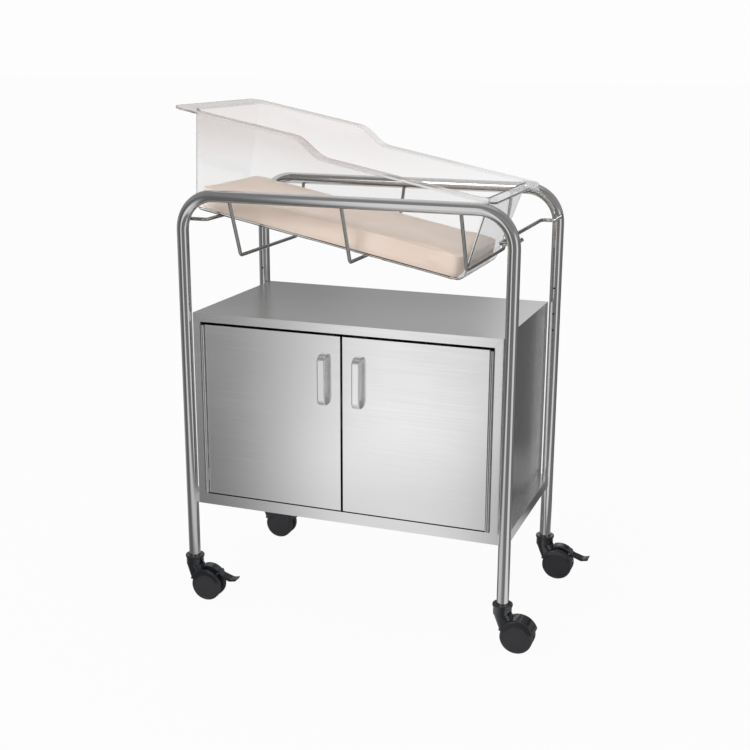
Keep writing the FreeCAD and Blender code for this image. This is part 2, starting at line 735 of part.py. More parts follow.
makeCabinetFloor()
makeSidePanel("left_side_panel", -1)
makeSidePanel("right_side_panel", 1)
makeBackPanel()
makeTopPanel()
makeStile("left_stile", -1)
makeStile("right_stile", 1)
makeHeadRail()
makeShelf()
makeCatches()


# ---- doors ----

hingeX = stileInner - hingeGap / 2
hingeY = -cabinetHalfWidth - knuckleProud
hingeHeight = doorTop - doorBottom
knucklePitch = hingeHeight / (knucklePairs * 2 + 1)


# One leaf of a continuous hinge, in a frame whose Z axis is the pin. It reaches back beside the pin on its
# own side, towards wallSide, and its knuckles alternate with the other leaf's.
def makeHingeLeaf(name, side, wallSide, firstKnuckle, count):
    body = newBody(name, side * hingeX, hingeY, doorBottom)
    outer = wallSide * (hingeGap / 2 - seatGap)
    inner = wallSide * (hingeGap / 2 - seatGap - leafWall)
    clearY = knuckleRadius + seatGap
    leaf = newSketch(body, "XY_Plane")
    addOutline(leaf, [(inner, clearY), (outer, clearY), (outer, knuckleProud + doorDepth),
                      (inner, knuckleProud + doorDepth)])
    pad(body, leaf, hingeHeight)
    start = knucklePitch * firstKnuckle + knuckleGap / 2
    knuckle = newSketch(body, "XY_Plane", start)
    addCircle(knuckle, 0, 0, knuckleRadius)
    barrel = pad(body, knuckle, knucklePitch - knuckleGap)
    tab = newSketch(body, "XY_Plane", start)
    addOutline(tab, [(inner, 0), (outer, 0), (outer, clearY + leafWall), (inner, clearY + leafWall)])
    link = pad(body, tab, knucklePitch - knuckleGap)
    doc.recompute()
    pattern = body.newObject("PartDesign::LinearPattern", f"{name}_pattern")
    pattern.Originals = [barrel, link]
    pattern.Direction = (originPlane(body, "Z_Axis"), [""])
    pattern.Mode = "Spacing"
    pattern.Offset = knucklePitch.value * 2
    pattern.setExpression("Offset", (knucklePitch * 2).text)
    pattern.Occurrences = int(count.value)
    pattern.setExpression("Occurrences", count.text)
    body.Tip = pattern
    doc.recompute()
    bore = newSketch(body, "XY_Plane")
    addCircle(bore, 0, 0, pinRadius + runningFit)
    cut(body, bore, hingeHeight)
    return finish(body)


# A door: a folded steel pan closed by a liner, with its handle.
def makeDoor(word, side):
    front = -cabinetHalfWidth
    hingeEdge = side * (stileInner - hingeGap)
    freeEdge = side * doorGap / 2
    handleX = side * (doorGap / 2 + handleOffset)
    fold = side * sheetWall
    skin = newBody(f"{word}_door_skin", 0, front, doorBottom)
    outline = newSketch(skin, "XZ_Plane", -doorDepth)
    addOutline(outline, box(freeEdge, 0, hingeEdge, hingeHeight))
    pad(skin, outline, doorDepth)
    hollow = newSketch(skin, "XZ_Plane", -doorDepth)
    addOutline(hollow, box(freeEdge + fold, sheetWall, hingeEdge - fold, hingeHeight - sheetWall))
    cut(skin, hollow, doorDepth - sheetWall)
    holes = newSketch(skin, "XZ_Plane", -doorDepth)
    feet = (handleHeight - handleSpan / 2, handleHeight + handleSpan / 2)
    for foot in feet:
        addCircle(holes, handleX, foot - doorBottom, screwRadius + runningFit)
    cut(skin, holes, doorDepth)
    finish(skin)

    inset = fold + side * seatGap
    liner = newBody(f"{word}_door_liner", 0, front, doorBottom)
    plate = newSketch(liner, "XZ_Plane", -doorDepth)
    addOutline(plate, box(freeEdge + inset, sheetWall + seatGap, hingeEdge - inset,
                          hingeHeight - sheetWall - seatGap))
    pad(liner, plate, sheetWall)
    finish(liner)

    strike = makeBox(f"{word}_strike_plate", side * catchOffset - catchWidth / 2, front + doorDepth,
                     doorTop - catchHeight, catchWidth, leafWall, catchHeight - sheetWall)
    finish(strike)

    handle = newBody(f"{word}_handle", handleX, front, handleHeight)
    path = newSketch(handle, "YZ_Plane")
    addOutline(path, [(0, -handleSpan / 2), (-handleReach, -handleSpan / 2, handleBend), (-handleReach, 0)],
               closed=False)
    profile = newSketch(handle, "XZ_Plane")
    halfWidth, halfThickness = handleWidth / 2, handleThickness / 2
    addOutline(profile, box(-halfWidth, -handleSpan / 2 - halfThickness, halfWidth,
                            -handleSpan / 2 + halfThickness, handleEdge))
    half = sweep(handle, profile, path)
    mirror(handle, [half], "XY_Plane")
    doc.recompute()
    threads = newSketch(handle, "XZ_Plane")
    for end in (-1, 1):
        addCircle(threads, 0, end * handleSpan / 2, screwRadius + runningFit)
    cut(handle, threads, screwLength)
    finish(handle)

    screws = []
    for foot in feet:
        screw = newBody("handle_screw", handleX, front + sheetWall, foot)
        head = newSketch(screw, "XZ_Plane", -screwHeadHeight)
        addCircle(head, 0, 0, screwHead)
        pad(screw, head, screwHeadHeight)
        shank = newSketch(screw, "XZ_Plane")
        addCircle(shank, 0, 0, screwRadius)
        pad(screw, shank, screwLength)
        screws.append(screw)
    group(f"{word}_handle_screws", screws)

    makeHingeLeaf(f"{word}_frame_leaf", side, side, 0, knucklePairs + 1)
    makeHingeLeaf(f"{word}_door_leaf", side, -side, 1, knucklePairs)
    pin = makeRound(f"{word}_hinge_pin", side * hingeX, hingeY, doorBottom, pinRadius, hingeHeight)
    finish(pin)


makeDoor("left", -1)
makeDoor("right", 1)


# ---- tub and mattress ----

# The tub is modelled in its own frame: X along it towards the foot end, Z square to its floor, and Z zero at
# the underside of the low rim. Its walls lean outwards by their drafts, so each level has its own outline.
def tubOutline(level, inset):
    rise = tubDepth + level
    foot = footEdge - floorFootEnd + rise * footSlope - inset
    head = headEdge + floorHeadEnd - rise * tangent(headDraft) + inset
    half = floorHalfWidth + rise * tangent(sideDraft) - inset
    return box(head, -half, foot, half, floorCorner - inset)


# The tub's outside, or its hollow one wall further in, as a loft from its floor up. The edge of the floor
# is a round whose centre is the same for both.
def tubLoft(body, kind, wall, top):
    sections = []
    centreLevel = floorRound - tubDepth
    for step in range(floorRoundSteps + 1):
        angle = term(90 * step / floorRoundSteps)
        level = centreLevel - (floorRound - wall) * cosine(angle)
        inset = floorRound - (floorRound - wall) * sine(angle)
        section = newSketch(body, "XY_Plane", level)
        addOutline(section, tubOutline(level, inset))
        sections.append(section)
    section = newSketch(body, "XY_Plane", top)
    addOutline(section, tubOutline(top, wall))
    sections.append(section)
    return loft(body, kind, sections)


def makeTub():
    body = newBody("tub", seatX, 0, seatZ, tubTilt)
    above = rimStep + rimThickness
    tubLoft(body, "AdditiveLoft", term(0), above)

    # Everything above the stepped edge goes.
    spare = rimCorner
    startX, endX = footEdge - stepStart, footEdge - stepEnd
    beyondFoot, beyondHead = footEdge + spare, headEdge - spare
    trim = newSketch(body, "XZ_Plane", tubHalfWidth)
    addOutline(trim, [(beyondFoot, rimThickness / 2), (startX, rimThickness / 2, stepRound),
                      (endX, rimStep + rimThickness / 2, stepRound), (beyondHead, rimStep + rimThickness / 2),
                      (beyondHead, above + spare), (beyondFoot, above + spare)])
    cut(body, trim, tubHalfWidth * 2, against=True)

    # The rim is a band that follows the step, cut to a rounded outline.
    band = newSketch(body, "XZ_Plane", -tubHalfWidth)
    addOutline(band, [(footEdge, 0), (startX, 0, stepRound), (endX, rimStep, stepRound), (headEdge, rimStep),
                      (headEdge, above), (endX, above, stepRound - rimThickness),
                      (startX, rimThickness, stepRound + rimThickness), (footEdge, rimThickness)])
    pad(body, band, tubHalfWidth * 2)
    rimPlan = newSketch(body, "XY_Plane", -spare)
    addOutline(rimPlan, box(beyondHead, -tubHalfWidth - spare, beyondFoot, tubHalfWidth + spare))
    addOutline(rimPlan, box(headEdge, -tubHalfWidth, footEdge, tubHalfWidth, rimCorner))
    cut(body, rimPlan, above + spare * 2)

    # The hollow follows the outside at the wall's thickness.
    tubLoft(body, "SubtractiveLoft", tubWall, above)
    return finish(body)


def makeMattress():
    body = newBody("mattress", seatX, 0, seatZ, tubTilt)
    under = -tubDepth + tubWall + seatGap
    plan = newSketch(body, "XY_Plane", under)
    addOutline(plan, tubOutline(-tubDepth + tubWall, tubWall + mattressGap))
    block = pad(body, plan, mattressThickness)
    roundEdges(body, block, mattressRound, lambda edge: abs(edge.tangentAt(edge.FirstParameter).z) < 0.5)
    return finish(body)


makeTub()
makeMattress()


# ---- casters ----

hoodInner = wheelRadius + hoodGap
hoodOuter = hoodInner + hoodWall
halfCaster = casterWidth / 2
wheelFace = halfCaster - skirtWall - skirtGap
axleHalf = wheelFace - wheelDish - wheelCap - seatGap
pivotReach = hoodOuter + pedalRise / 4
pivotX = casterTrail + pivotReach * cosine(pedalPivotAngle)
pivotZ = wheelRadius + pivotReach * sine(pedalPivotAngle)
slotHalf = pedalHalfWidth + seatGap
pedalTop = hoodOuter + pedalRise
slotStart = casterTrail + hoodInner * cosine(pedalSlotAngle) - seatGap


# A hood: a collar that turns round the foot of the leg, a neck, a web between the wheels and an arch over
# them. Its frame stands on the floor under the stem, X towards the trailing side.
def makeHood(name, x, y, braked):
    body = newBody(name, x, y, 0)
    arch = newSketch(body, "XZ_Plane", -halfCaster)
    addCircle(arch, casterTrail, wheelRadius, hoodOuter)
    pad(body, arch, casterWidth)
    under = newSketch(body, "XZ_Plane", -halfCaster)
    spare = hoodOuter * 2
    footHeight = wheelRadius + hoodEnd
    addOutline(under, [(-spare, -spare), (casterTrail + spare, -spare), (casterTrail + spare, footHeight),
                       (-neckFront, footHeight), (-collarRadius, collarBottom), (-spare, collarBottom)])
    dome = cut(body, under, casterWidth)
    roundEdges(body, dome, hoodRound, lambda edge: edge.Curve.TypeId == "Part::GeomCircle")
    neckTop = newSketch(body, "XY_Plane", collarBottom + hoodWall)
    addOutline(neckTop, box(-collarRadius, -collarRadius, collarRadius, collarRadius, collarRadius * 0.98))
    neckFoot = newSketch(body, "XY_Plane", footHeight)
    neckHalf = halfCaster - neckInset
    addOutline(neckFoot, box(-neckFront, -neckHalf, casterTrail, neckHalf, hoodRound * 1.5))
    loft(body, "AdditiveLoft", [neckTop, neckFoot])
    for side in (-1, 1):
        room = newSketch(body, "XZ_Plane", side * webWall / 2)
        addCircle(room, casterTrail, wheelRadius, hoodInner)
        cut(body, room, halfCaster - skirtWall - webWall / 2, against=side < 0)
        opening = newSketch(body, "XZ_Plane", side * webWall / 2)
        addCircle(opening, casterTrail, wheelRadius, skirtEdge)
        cut(body, opening, halfCaster, against=side < 0)
    boss = newSketch(body, "XZ_Plane", -webWall / 2)
    addOutline(boss, [(casterTrail - bossRadius, wheelRadius - bossRadius, bossRadius * 0.8),
                      (casterTrail + bossRadius, wheelRadius - bossRadius, bossRadius * 0.8),
                      (casterTrail + bossRadius, wheelRadius + skirtEdge),
                      (casterTrail - bossRadius, wheelRadius + skirtEdge)])
    pad(body, boss, webWall)
    collar = newSketch(body, "XZ_Plane")
    lipRound = collarLip - collarRadius
    addOutline(collar, [(0, stemFoot - hoodWall), (collarRadius * 0.6, stemFoot - hoodWall),
                        (collarRadius, collarBottom, hoodWall), (collarRadius, collarTop - lipRound * 4),
                        (collarLip, collarTop - lipRound * 3, lipRound), (collarLip, collarTop, lipRound),
                        (tubeRadius + seatGap * 2, collarTop), (tubeRadius + seatGap * 2, collarFloor),
                        (0, collarFloor)])
    turnRound(body, collar, "Z_Axis")
    stemHole = newSketch(body, "XY_Plane", stemFoot - seatGap)
    addCircle(stemHole, 0, 0, stemRadius + runningFit)
    cut(body, stemHole, collarTop)
    axleHole = newSketch(body, "XZ_Plane", -webWall)
    addCircle(axleHole, casterTrail, wheelRadius, axleRadius)
    cut(body, axleHole, webWall * 2)
    if braked:
        ears = newSketch(body, "XZ_Plane", -slotHalf - earWidth)
        addCircle(ears, pivotX, pivotZ, earRadius)
        pad(body, ears, (slotHalf + earWidth) * 2)
        slot = newSketch(body, "XZ_Plane", -slotHalf)
        addOutline(slot, box(slotStart, footHeight, casterTrail + spare, footHeight + spare))
        cut(body, slot, slotHalf * 2)
        pinHole = newSketch(body, "XZ_Plane", -slotHalf - earWidth)
        addCircle(pinHole, pivotX, pivotZ, pedalPinRadius)
        cut(body, pinHole, (slotHalf + earWidth) * 2)
    return finish(body)


# Both wheels of a caster: the same disc turned twice, one on each side of the web.
def makeWheels(name, x, y):
    discs = []
    for side in (-1, 1):
        body = newBody("wheel", x + casterTrail, y, wheelRadius)
        section = newSketch(body, "YZ_Plane")
        outer, inner = side * wheelFace, side * (wheelFace - wheelWidth)
        dish = side * (wheelFace - wheelDish)
        boreEnd = dish - side * wheelCap
        bore = axleRadius + runningFit
        addOutline(section, [(inner, bore), (inner, wheelRadius, wheelRound), (outer, wheelRadius, wheelRound),
                             (outer, wheelRadius * 0.84), (dish, wheelRadius * 0.8), (dish, 0), (boreEnd, 0),
                             (boreEnd, bore)])
        turnRound(body, section, "Y_Axis")
        discs.append(body)
    return group(name, discs)


# A place round the axle, as the pedal's own frame at the pin sees it.
def roundAxle(reach, angle):
    return casterTrail + reach * cosine(angle) - pivotX, wheelRadius + reach * sine(angle) - pivotZ


# The brake pedal: an arched lever in the hood's slot that rocks on a pin between two ears of the hood. Its
# front lies over the arch like a saddle, its middle drops into the slot, and it ends in a toe plate that
# turns up a little.
def makePedal(name, x, y):
    body = newBody(name, x + pivotX, y, pivotZ)
    lever = newSketch(body, "XZ_Plane", -pedalHalfWidth)
    under = hoodInner + seatGap
    noseX, noseZ = roundAxle(pedalTop, pedalNoseAngle)
    halfArch = (pedalNoseAngle - pedalHeelAngle) / 2
    archX, archZ = roundAxle(pedalTop / cosine(halfArch), pedalHeelAngle + halfArch)
    heelX, heelZ = roundAxle(pedalTop / cosine(pedalHeelTurn), pedalHeelAngle - pedalHeelTurn)
    dipX, dipZ = pedalDipReach - pivotX, pedalTipHeight - pedalDip - pivotZ
    tipX, tipZ = pedalTipReach - pivotX, pedalTipHeight - pivotZ
    shoeX, shoeZ = roundAxle(under, pedalPivotAngle)
    stepX, stepZ = roundAxle(under, pedalSlotAngle)
    over = hoodOuter + seatGap
    stepTopX, stepTopZ = roundAxle(over, pedalSlotAngle)
    halfSaddle = (pedalNoseAngle - pedalSlotAngle) / 2
    saddleX, saddleZ = roundAxle(over / cosine(halfSaddle), pedalSlotAngle + halfSaddle)
    lipX, lipZ = roundAxle(over, pedalNoseAngle)
    addOutline(lever, [(lipX, lipZ), (noseX, noseZ, pedalRise * 0.3), (archX, archZ, pedalTop * 0.8),
                       (heelX, heelZ, pedalTop * 0.3), (dipX, dipZ, pedalTop * 0.4), (tipX, tipZ),
                       (tipX - pedalTipWall * 0.3, tipZ - pedalTipWall),
                       (dipX - pedalTipWall, dipZ - pedalTipWall, wheelRound * 2),
                       (shoeX, shoeZ, wheelRound), (stepX, stepZ), (stepTopX, stepTopZ),
                       (saddleX, saddleZ, over * 0.9)])
    pad(body, lever, pedalHalfWidth * 2)
    hole = newSketch(body, "XZ_Plane", -pedalHalfWidth)
    addCircle(hole, 0, 0, pedalPinRadius + runningFit)
    cut(body, hole, pedalHalfWidth * 2)
    return finish(body)


def makeCaster(word, signX, signY, braked):
    x, y = signX * legX, signY * legY
    makeHood(f"{word}_hood", x, y, braked)
    axle = makeRound(f"{word}_axle", x + casterTrail, y + axleHalf, wheelRadius, axleRadius, axleHalf * 2)
    axle.Placement = FreeCAD.Placement(axle.Placement.Base, FreeCAD.Rotation(Vector(1, 0, 0), 90))
    finish(axle)
    makeWheels(f"{word}_wheels", x, y)
    if braked:
        makePedal(f"{word}_pedal", x, y)
        pin = makeRound(f"{word}_pedal_pin", x + pivotX, y + slotHalf + earWidth, pivotZ, pedalPinRadius,
                        (slotHalf + earWidth) * 2)
        pin.Placement = FreeCAD.Placement(pin.Placement.Base, FreeCAD.Rotation(Vector(1, 0, 0), 90))
        finish(pin)


# The sockets are pressed into the legs, and the stems stand in them and in the collars.
def makeStems():
    sockets = []
    stems = []
    for signX, signY in corners4:
        x, y = signX * legX, signY * legY
        socket = newBody("socket", x, y, tubeFoot)
        ring = newSketch(socket, "XY_Plane")
        addCircle(ring, 0, 0, tubeBore - runningFit)
        addCircle(ring, 0, 0, stemRadius + runningFit)
        pad(socket, ring, socketLength)
        sockets.append(socket)
        stems.append(makeRound("stem", x, y, stemFoot, stemRadius, tubeFoot + socketLength - stemFoot))
    group("tube_sockets", sockets)
    group("caster_stems", stems)


makeCaster("front_left", -1, -1, True)
makeCaster("front_right", 1, -1, False)
makeCaster("rear_right", 1, 1, True)
makeCaster("rear_left", -1, 1, False)
makeStems()


# ---- checks and files ----

doc.recompute()
for thing in doc.Objects:
    if "Invalid" in thing.State or "Error" in thing.State:
        raise RuntimeError(f"{thing.Label} could not be built: {thing.State}")
for subPart in subParts:
    if subPart.Shape.isNull() or not subPart.Shape.isValid():
        raise RuntimeError(f"{subPart.Label} has no valid shape")
for subPart in subParts:
    subPart.Shape.exportStep(f"parts/{subPart.Label}.step")
    corner = subPart.Shape.BoundBox
    print(f"{subPart.Label}: {len(subPart.Shape.Solids)} solid, {subPart.Shape.Volume:.0f} mm3, "
          f"X {corner.XMin:.1f} to {corner.XMax:.1f}, Z {corner.ZMin:.1f} to {corner.ZMax:.1f}")
print(len(subParts), "sub-parts")
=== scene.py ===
import json
import math
import bpy
import numpy as np
from mathutils import Matrix, Vector


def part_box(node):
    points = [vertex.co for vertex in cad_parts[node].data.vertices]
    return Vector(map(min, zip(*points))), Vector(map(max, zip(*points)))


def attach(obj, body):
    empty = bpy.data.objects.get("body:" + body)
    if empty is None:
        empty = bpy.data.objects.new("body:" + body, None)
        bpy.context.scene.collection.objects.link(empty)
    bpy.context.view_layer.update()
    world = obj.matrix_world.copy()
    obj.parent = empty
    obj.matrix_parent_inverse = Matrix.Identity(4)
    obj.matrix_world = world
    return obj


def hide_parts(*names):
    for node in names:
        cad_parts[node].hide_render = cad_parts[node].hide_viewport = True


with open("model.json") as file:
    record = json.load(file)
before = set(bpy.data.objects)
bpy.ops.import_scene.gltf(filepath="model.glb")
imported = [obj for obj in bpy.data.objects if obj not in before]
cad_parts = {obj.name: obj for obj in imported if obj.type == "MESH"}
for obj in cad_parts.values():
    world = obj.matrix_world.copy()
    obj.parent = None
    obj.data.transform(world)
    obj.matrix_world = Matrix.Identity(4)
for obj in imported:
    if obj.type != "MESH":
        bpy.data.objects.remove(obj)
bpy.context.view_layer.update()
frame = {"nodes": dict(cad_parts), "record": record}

nodes = frame["nodes"]
slotOf = {part["node"]: part["material_slot"] for part in frame["record"]["subparts"]}
print("frame loaded:", len(nodes), "nodes")


def linear(hexText):
    # sRGB hex to the linear colour that shaders take
    parts = [int(hexText[i:i + 2], 16) / 255 for i in (0, 2, 4)]
    return tuple(c / 12.92 if c < 0.04045 else ((c + 0.055) / 1.055) ** 2.4 for c in parts) + (1.0,)


def addNode(tree, kind, settings=None, **links):
    # one node with its settings; a socket is linked, and a value is set on the input itself
    # an input goes by its name, or by its place as i0, i1 and so on
    node = tree.nodes.new(kind)
    for name, value in (settings or {}).items():
        setattr(node, name, value)
    for key, value in links.items():
        byPlace = key[0] == "i" and key[1:].isdigit()
        socket = node.inputs[int(key[1:]) if byPlace else key.replace("_", " ")]
        if isinstance(value, bpy.types.NodeSocket):
            tree.links.new(value, socket)
        else:
            socket.default_value = value
    return node


def numberNode(tree, operation, *values):
    # the result of a Math node, from numbers or sockets
    links = {f"i{place}": value for place, value in enumerate(values)}
    return addNode(tree, "ShaderNodeMath", {"operation": operation}, **links).outputs[0]


def vectorNode(tree, operation, *values):
    # the result of a Vector Math node, which for a dot product or a length is a number
    links = {f"i{place}": value for place, value in enumerate(values)}
    node = addNode(tree, "ShaderNodeVectorMath", {"operation": operation}, **links)
    return node.outputs["Value" if operation in ("DOT_PRODUCT", "LENGTH") else "Vector"]


def rangeNode(tree, value, start, end, low=0.0, high=1.0):
    # from low to high as the value goes from start to end
    return addNode(tree, "ShaderNodeMapRange", Value=value, From_Min=start, From_Max=end,
                   To_Min=low, To_Max=high).outputs[0]


def objectPlace(tree):
    return addNode(tree, "ShaderNodeTexCoord").outputs["Object"]


def stretchedNoise(tree, scale, detail=2.0):
    # noise in object space, its cells stretched by the three scales (per metre)
    place = addNode(tree, "ShaderNodeMapping", i0=objectPlace(tree), i3=scale).outputs[0]
    return addNode(tree, "ShaderNodeTexNoise", Vector=place, Scale=1.0, Detail=detail).outputs[0]


def evenNoise(tree, cellsPerMetre, detail):
    return stretchedNoise(tree, (cellsPerMetre,) * 3, detail)


def colourBetween(tree, share, first, second):
    # the first colour where the share is nothing, the second where it is one
    mix = addNode(tree, "ShaderNodeMix", {"data_type": "RGBA"}, i0=share)
    mix.inputs["A"].default_value = linear(first)
    mix.inputs["B"].default_value = linear(second)
    return mix.outputs["Result"]


def newMaterial(name):
    material = bpy.data.materials.new(name)
    material.use_nodes = True
    tree = material.node_tree
    return material, tree, tree.nodes["Principled BSDF"]


def emptyMaterial(name):
    material = newMaterial(name)[0]
    material.node_tree.nodes.clear()
    return material, material.node_tree


def setShader(shader, **values):
    for name, value in values.items():
        shader.inputs[name.replace("_", " ")].default_value = value


def addBump(tree, shader, height, strength, distance):
    bumped = addNode(tree, "ShaderNodeBump", Strength=strength, Distance=distance, Height=height)
    tree.links.new(bumped.outputs[0], shader.inputs["Normal"])


def readPoints(mesh):
    points = np.empty(len(mesh.vertices) * 3)
    mesh.vertices.foreach_get("co", points)
    return points.reshape(-1, 3)


def writePoints(mesh, points):
    mesh.vertices.foreach_set("co", points.ravel())
    mesh.update()


def addToScene(name, data):
    thing = bpy.data.objects.new(name, data)
    bpy.context.scene.collection.objects.link(thing)
    return thing


# each steel: its colour in plain light, how rough it is and how far that varies, the object's axis
# that its polishing lines follow, how far they stretch a reflection, and how deep they look
steel = {
    "sheet": dict(colour="fafafa", roughness=0.2, vary=0.03, lines="x", stretch=0.75, depth=0.06),
    "tube": dict(colour="d2d2d2", roughness=0.13, vary=0.02, lines="x", stretch=0.0, depth=0.03),
    "rod": dict(colour="b4b4b3", roughness=0.2, vary=0.03, lines="y", stretch=0.0, depth=0.06),
    "hinge": dict(colour="c4c4c3", roughness=0.22, vary=0.04, lines="z", stretch=0.3, depth=0.06),
    "handle": dict(colour="fafafa", roughness=0.25, vary=0.04, lines="z", stretch=0.3, depth=0.05),
    "zinc": dict(colour="b9b8b2", roughness=0.3, vary=0.05, lines="z", stretch=0.0, depth=0.06),
}

# the lines' pitch, length and relief in metres, the lean of their axis, the clouds over them, and
# the noise at which the steel is smoothest and roughest
grain = {"pitch": 0.0011, "length": 0.16, "relief": 0.0001, "lean": 0.02,
         "cloudsPerMetre": 4.0, "cloudDetail": 3.0, "smooth": 0.7, "rough": 1.3}


def brushedSteel(name, colour, roughness, vary, lines, stretch, depth):
    # stainless steel, polished on a belt: hairlines that stretch every reflection across them
    material, tree, shader = newMaterial(name)
    along = "xyz".index(lines)
    scale = [1 / grain["pitch"]] * 3
    scale[along] = 1 / grain["length"]
    hairlines = stretchedNoise(tree, scale)
    clouds = evenNoise(tree, grain["cloudsPerMetre"], grain["cloudDetail"])
    rough = rangeNode(tree, numberNode(tree, "ADD", clouds, hairlines), grain["smooth"],
                      grain["rough"], roughness - vary, roughness + vary)
    tree.links.new(rough, shader.inputs["Roughness"])
    # the axis leans a little, so that a face square to the lines has a direction too
    axis = [grain["lean"], grain["lean"], 0.0]
    axis[along] = 1.0
    spaces = {"vector_type": "VECTOR", "convert_from": "OBJECT", "convert_to": "WORLD"}
    tangent = addNode(tree, "ShaderNodeVectorTransform", spaces, Vector=axis)
    tree.links.new(tangent.outputs[0], shader.inputs["Tangent"])
    addBump(tree, shader, hairlines, depth, grain["relief"])
    setShader(shader, Base_Color=linear(colour), Metallic=1.0, Anisotropic=stretch)
    return material


# The rosy, darker tint painted as shade at the head end's rim, and the near-white tint of the rest;
# the tub's slope in degrees; where the painted shade grows, by the height square to that slope and
# by the object's x; the rim's corner radius and the width of its sawn edge; how rough the sheet and
# that edge are; the index of refraction, below acrylic's own 1.49, at which the rims drew too dark;
# and the waves left by the warm draw. Lengths are in metres.
acrylic = {"shadedTint": "efebea", "clearTint": "fafafa", "slope": 11.3,
           "low": 0.85, "high": 0.94, "headX": -0.12, "footX": 0.26,
           "rimCorner": 0.028, "sawnEdge": 0.0008, "polishedRoughness": 0.02, "sawnRoughness": 0.6,
           "index": 1.2, "wavesPerMetre": 11.0, "waveDetail": 1.0, "waveStrength": 0.25,
           "waveHeight": 0.002}


def sawnEdge(tree, place):
    # one on the outer edge of the rim: where the distance to a rounded rectangle round the tub is
    # next to nothing
    slope = math.radians(acrylic["slope"])
    along = np.array([math.cos(slope), 0, -math.sin(slope)])
    reach = readPoints(nodes["tub"].data) @ np.stack((along, np.array([0, 1.0, 0])), axis=1)
    low, high = reach.min(axis=0), reach.max(axis=0)
    centre, half = (low + high) / 2, (high - low) / 2 - acrylic["rimCorner"]
    across = addNode(tree, "ShaderNodeSeparateXYZ", i0=place).outputs[1]
    plan = addNode(tree, "ShaderNodeCombineXYZ", i1=across,
                   i0=vectorNode(tree, "DOT_PRODUCT", place, along.tolist())).outputs[0]
    folded = vectorNode(tree, "ABSOLUTE", vectorNode(tree, "SUBTRACT", plan, (*centre, 0)))
    beyond = vectorNode(tree, "SUBTRACT", folded, (*half, 0))
    corner = vectorNode(tree, "MAXIMUM", beyond, (0, 0, 0))
    return numberNode(tree, "GREATER_THAN", vectorNode(tree, "LENGTH", corner),
                      acrylic["rimCorner"] - acrylic["sawnEdge"])


def clearAcrylic():
    # acrylic sheet, vacuum formed: polished, a little wavy, and clear, with a rosy, darker tint
    # painted in as shade, deepest near the rim at the head end
    material, tree, shader = newMaterial("acrylicSheet")
    place = objectPlace(tree)
    slope = math.radians(acrylic["slope"])
    height = vectorNode(tree, "DOT_PRODUCT", place, (math.sin(slope), 0, math.cos(slope)))
    length = addNode(tree, "ShaderNodeSeparateXYZ", i0=place).outputs[0]
    # painted shade: the tint turns darker and rosier towards the rim and towards the head end
    share = numberNode(tree, "MULTIPLY", rangeNode(tree, height, acrylic["low"], acrylic["high"]),
                       rangeNode(tree, length, acrylic["footX"], acrylic["headX"]))
    tint = colourBetween(tree, share, acrylic["clearTint"], acrylic["shadedTint"])
    tree.links.new(tint, shader.inputs["Base Color"])
    rough = rangeNode(tree, sawnEdge(tree, place), 0.0, 1.0, acrylic["polishedRoughness"],
                      acrylic["sawnRoughness"])
    tree.links.new(rough, shader.inputs["Roughness"])
    waves = evenNoise(tree, acrylic["wavesPerMetre"], acrylic["waveDetail"])
    addBump(tree, shader, waves, acrylic["waveStrength"], acrylic["waveHeight"])
    setShader(shader, Transmission_Weight=1.0, IOR=acrylic["index"])
    return material


# the cover's colour clean and soiled, the patches between them, and the knit under the coating
cover = {"colour": "e2d2c5", "shade": "dac4b4", "patchesPerMetre": 9.0, "patchDetail": 4.0,
         "clean": 0.35, "soiled": 0.7, "weavePitch": 0.0006, "weaveDetail": 1.0,
         "weaveStrength": 0.2, "weaveHeight": 0.0002, "roughness": 0.5, "sheen": 0.1}


def coatedCover():
    # polyurethane coated knit: matt, the knit just showing through, a little soiled by handling
    material, tree, shader = newMaterial("coatedCover")
    patches = evenNoise(tree, cover["patchesPerMetre"], cover["patchDetail"])
    share = rangeNode(tree, patches, cover["clean"], cover["soiled"])
    colour = colourBetween(tree, share, cover["colour"], cover["shade"])
    tree.links.new(colour, shader.inputs["Base Color"])
    knit = evenNoise(tree, 1 / cover["weavePitch"], cover["weaveDetail"])
    addBump(tree, shader, knit, cover["weaveStrength"], cover["weaveHeight"])
    setShader(shader, Roughness=cover["roughness"], Sheen_Weight=cover["sheen"])
    return material


# each moulding: its colour, how rough it is, how deep its grit looks, and how glossy its skin is
plastic = {
    "wheel": dict(colour="333336", roughness=0.42, grit=0.12, polish=0.0),
    "hood": dict(colour="0f111a", roughness=0.2, grit=0.02, polish=1.0),
    "fitting": dict(colour="1c1c1c", roughness=0.45, grit=0.12, polish=0.0),
}

# the grit of the mould, and the scuffs: where they are least and most, and what each does to the
# roughness
wear = {"gritPerMetre": 1500.0, "gritDetail": 1.0, "gritHeight": 0.0002, "scuffsPerMetre": 60.0,
        "scuffDetail": 5.0, "least": 0.3, "most": 0.7, "polished": 0.85, "scuffed": 1.2,
        "skinRoughness": 0.06}


def mouldedPlastic(name, colour, roughness, grit, polish):
    # injection moulded: the grit of the mould, and scuffs that change how it shines; a polished
    # mould leaves a glossy skin
    material, tree, shader = newMaterial(name)
    fine = evenNoise(tree, wear["gritPerMetre"], wear["gritDetail"])
    addBump(tree, shader, fine, grit, wear["gritHeight"])
    scuffs = evenNoise(tree, wear["scuffsPerMetre"], wear["scuffDetail"])
    rough = rangeNode(tree, scuffs, wear["least"], wear["most"], roughness * wear["polished"],
                      roughness * wear["scuffed"])
    tree.links.new(rough, shader.inputs["Roughness"])
    setShader(shader, Base_Color=linear(colour), Coat_Weight=polish,
              Coat_Roughness=wear["skinRoughness"])
    return material


